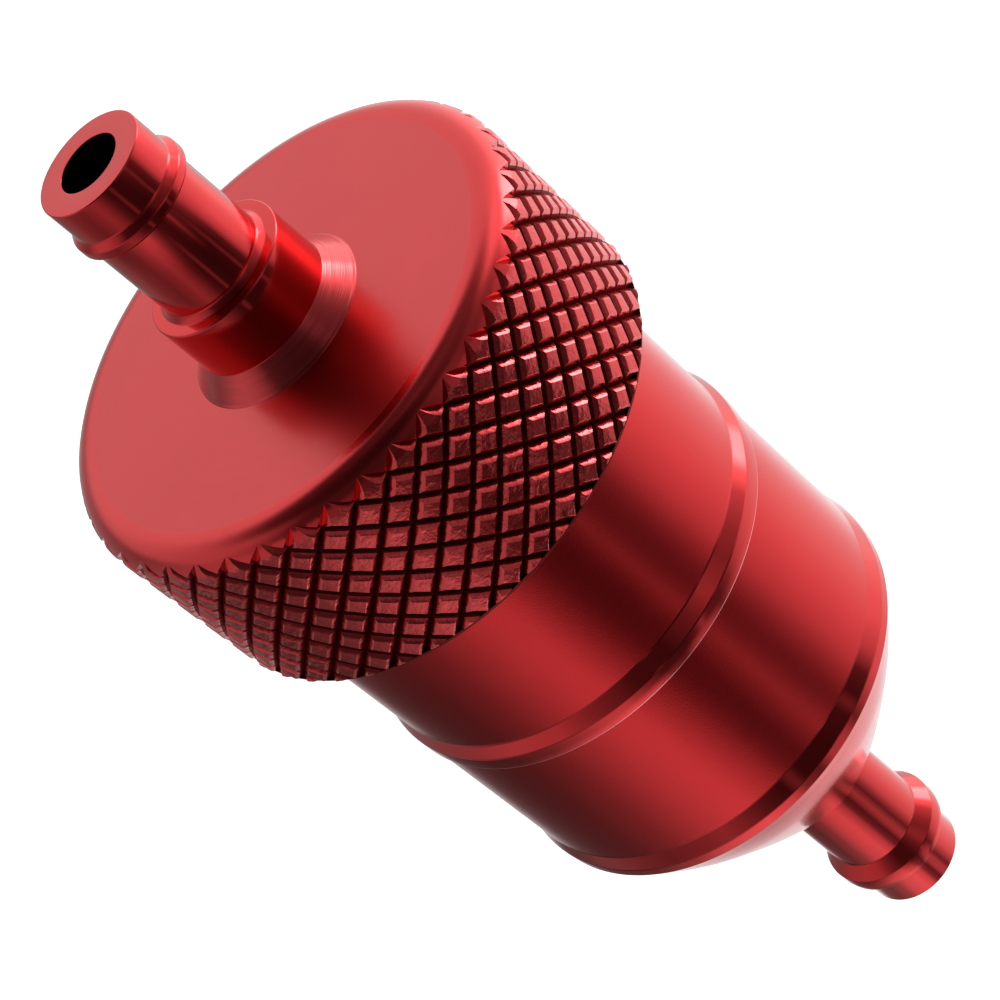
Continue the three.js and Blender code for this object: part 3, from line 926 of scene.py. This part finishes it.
# Brightness of the studio by compass angle, in degrees from -Y towards +X, at six heights, from underneath
# to overhead. Each is blended over the one before between two sines of the height angle.
STUDIO = (
    (None, (
        (-180, 1.00), (-160, 0.70), (-140, 0.20), (-110, 0.20), (-83, 0.45), (-62, 0.95), (-36, 1.25),
        (-18, 0.90), (-8, 0.30), (4, 0.16), (14, 0.60), (26, 0.60), (38, 0.20), (50, 0.55), (66, 1.00),
        (90, 1.20), (124, 1.20), (150, 1.00),
    )),
    ((-0.74, -0.67), (
        (-180, 0.85), (-165, 0.50), (-150, 0.12), (-124, 0.08), (-104, 0.10), (-83, 0.22), (-62, 0.50),
        (-48, 0.74), (-36, 0.78), (-21, 0.30), (-10, 0.09), (8, 0.07), (16, 0.14), (21, 0.42), (26, 0.15),
        (38, 0.13), (48, 0.28), (62, 0.74), (83, 1.08), (104, 1.20), (124, 1.15), (150, 1.10), (172, 0.95),
    )),
    ((-0.60, -0.50), (
        (-180, 0.30), (-148, 0.24), (-121, 0.30), (-98, 0.24), (-80, 0.20), (-60, 0.30), (-50, 0.40),
        (-40, 0.30), (-26, 0.12), (-14, 0.05), (-9, 0.24), (-4, 0.05), (14, 0.04), (30, 0.05), (35, 0.22),
        (40, 0.06), (52, 0.14), (64, 0.80), (80, 1.25), (121, 1.50), (150, 0.90),
    )),
    ((-0.42, -0.20), (
        (-180, 0.60), (-148, 0.34), (-132, 0.28), (-110, 0.45), (-84, 0.58), (-62, 0.55), (-44, 0.30),
        (-20, 0.08), (0, 0.06), (18, 0.20), (30, 0.45), (48, 0.30), (62, 0.45), (80, 0.90), (92, 2.20),
        (99, 7.50), (113, 7.50), (120, 2.40), (148, 1.40),
    )),
    ((0.24, 0.48), (
        (-180, 1.06), (-166, 1.00), (-150, 0.82), (-116, 0.66), (-98, 0.64), (-80, 0.40), (-64, 0.10),
        (-46, 0.08), (-20, 0.07), (8, 0.10), (26, 0.28), (44, 0.20), (62, 0.26), (80, 0.50), (96, 1.50),
        (118, 1.70), (136, 1.30), (150, 1.15), (166, 1.05),
    )),
    ((0.70, 0.88), (
        (-180, 0.10), (-90, 0.05), (0, 0.03), (60, 0.14), (122, 0.20),
    )),
)
BRIGHTEST = 7.5
PLAIN_WHITE = 0.96

world = bpy.data.worlds.new("studio")
world.use_nodes = True
bpy.context.scene.world = world
sky = world.node_tree
background = sky.nodes["Background"]
direction = add(sky, "ShaderNodeTexCoord")
split = add(sky, "ShaderNodeSeparateXYZ")
link(sky, direction.outputs["Generated"], split.inputs[0])
backwards = add(sky, "ShaderNodeMath", operation="MULTIPLY")
backwards.inputs[1].default_value = -1
link(sky, split.outputs["Y"], backwards.inputs[0])
compass = add(sky, "ShaderNodeMath", operation="ARCTAN2")
link(sky, split.outputs["X"], compass.inputs[0])
link(sky, backwards.outputs[0], compass.inputs[1])
turns = add(sky, "ShaderNodeMapRange")
turns.inputs["From Min"].default_value = -math.pi
turns.inputs["From Max"].default_value = math.pi
link(sky, compass.outputs[0], turns.inputs["Value"])


def bank_ramp(stops):
    """A ramp of light round the compass, given as (angle, brightness) pairs."""
    ramp = add(sky, "ShaderNodeValToRGB")
    ramp.color_ramp.interpolation = "LINEAR"
    elements = ramp.color_ramp.elements
    for index, (angle, brightness) in enumerate(stops + ((180, stops[0][1]),)):
        share = (angle + 180) / 360
        element = elements[index] if index < 2 else elements.new(share)
        element.position = share
        element.color = (*[brightness / BRIGHTEST] * 3, 1)
    link(sky, turns.outputs[0], ramp.inputs[0])
    return ramp.outputs["Color"]


studio_light = bank_ramp(STUDIO[0][1])
for (blend_from, blend_to), stops in STUDIO[1:]:
    banks = bank_ramp(stops)
    upward = add(sky, "ShaderNodeMapRange", interpolation_type="SMOOTHSTEP")
    upward.inputs["From Min"].default_value = blend_from
    upward.inputs["From Max"].default_value = blend_to
    link(sky, split.outputs["Z"], upward.inputs["Value"])
    blend = add(sky, "ShaderNodeMix", data_type="RGBA")
    link(sky, upward.outputs[0], blend.inputs["Factor"])
    link(sky, studio_light, blend.inputs["A"])
    link(sky, banks, blend.inputs["B"])
    studio_light = blend.outputs["Result"]
seen = add(sky, "ShaderNodeLightPath")
plain = add(sky, "ShaderNodeMix", data_type="RGBA")
plain.inputs["B"].default_value = (*[PLAIN_WHITE / BRIGHTEST] * 3, 1)
link(sky, seen.outputs["Is Camera Ray"], plain.inputs["Factor"])
link(sky, studio_light, plain.inputs["A"])
link(sky, plain.outputs["Result"], background.inputs["Color"])
background.inputs["Strength"].default_value = BRIGHTEST
bpy.context.scene.view_settings.view_transform = "Standard"

CAMERA_PLACE = (0.00017, -0.14087, 0.14848)
CAMERA_LENS = 115.95
CAMERA_ROLL = -0.10
CAMERA_TILT = 53.07
CAMERA_TURN = -50.06
camera = bpy.data.objects.new("camera", bpy.data.cameras.new("camera"))
bpy.context.scene.collection.objects.link(camera)
camera.data.sensor_width = 36
camera.data.lens = CAMERA_LENS
camera.rotation_mode = "QUATERNION"
camera.location = CAMERA_PLACE
roll = Matrix.Rotation(math.radians(CAMERA_ROLL), 3, "Y")
tilt = Matrix.Rotation(math.radians(CAMERA_TILT), 3, "X")
turn = Matrix.Rotation(math.radians(CAMERA_TURN), 3, "Z")
camera.rotation_quaternion = (roll @ tilt @ turn).to_quaternion()
bpy.context.scene.camera = camera
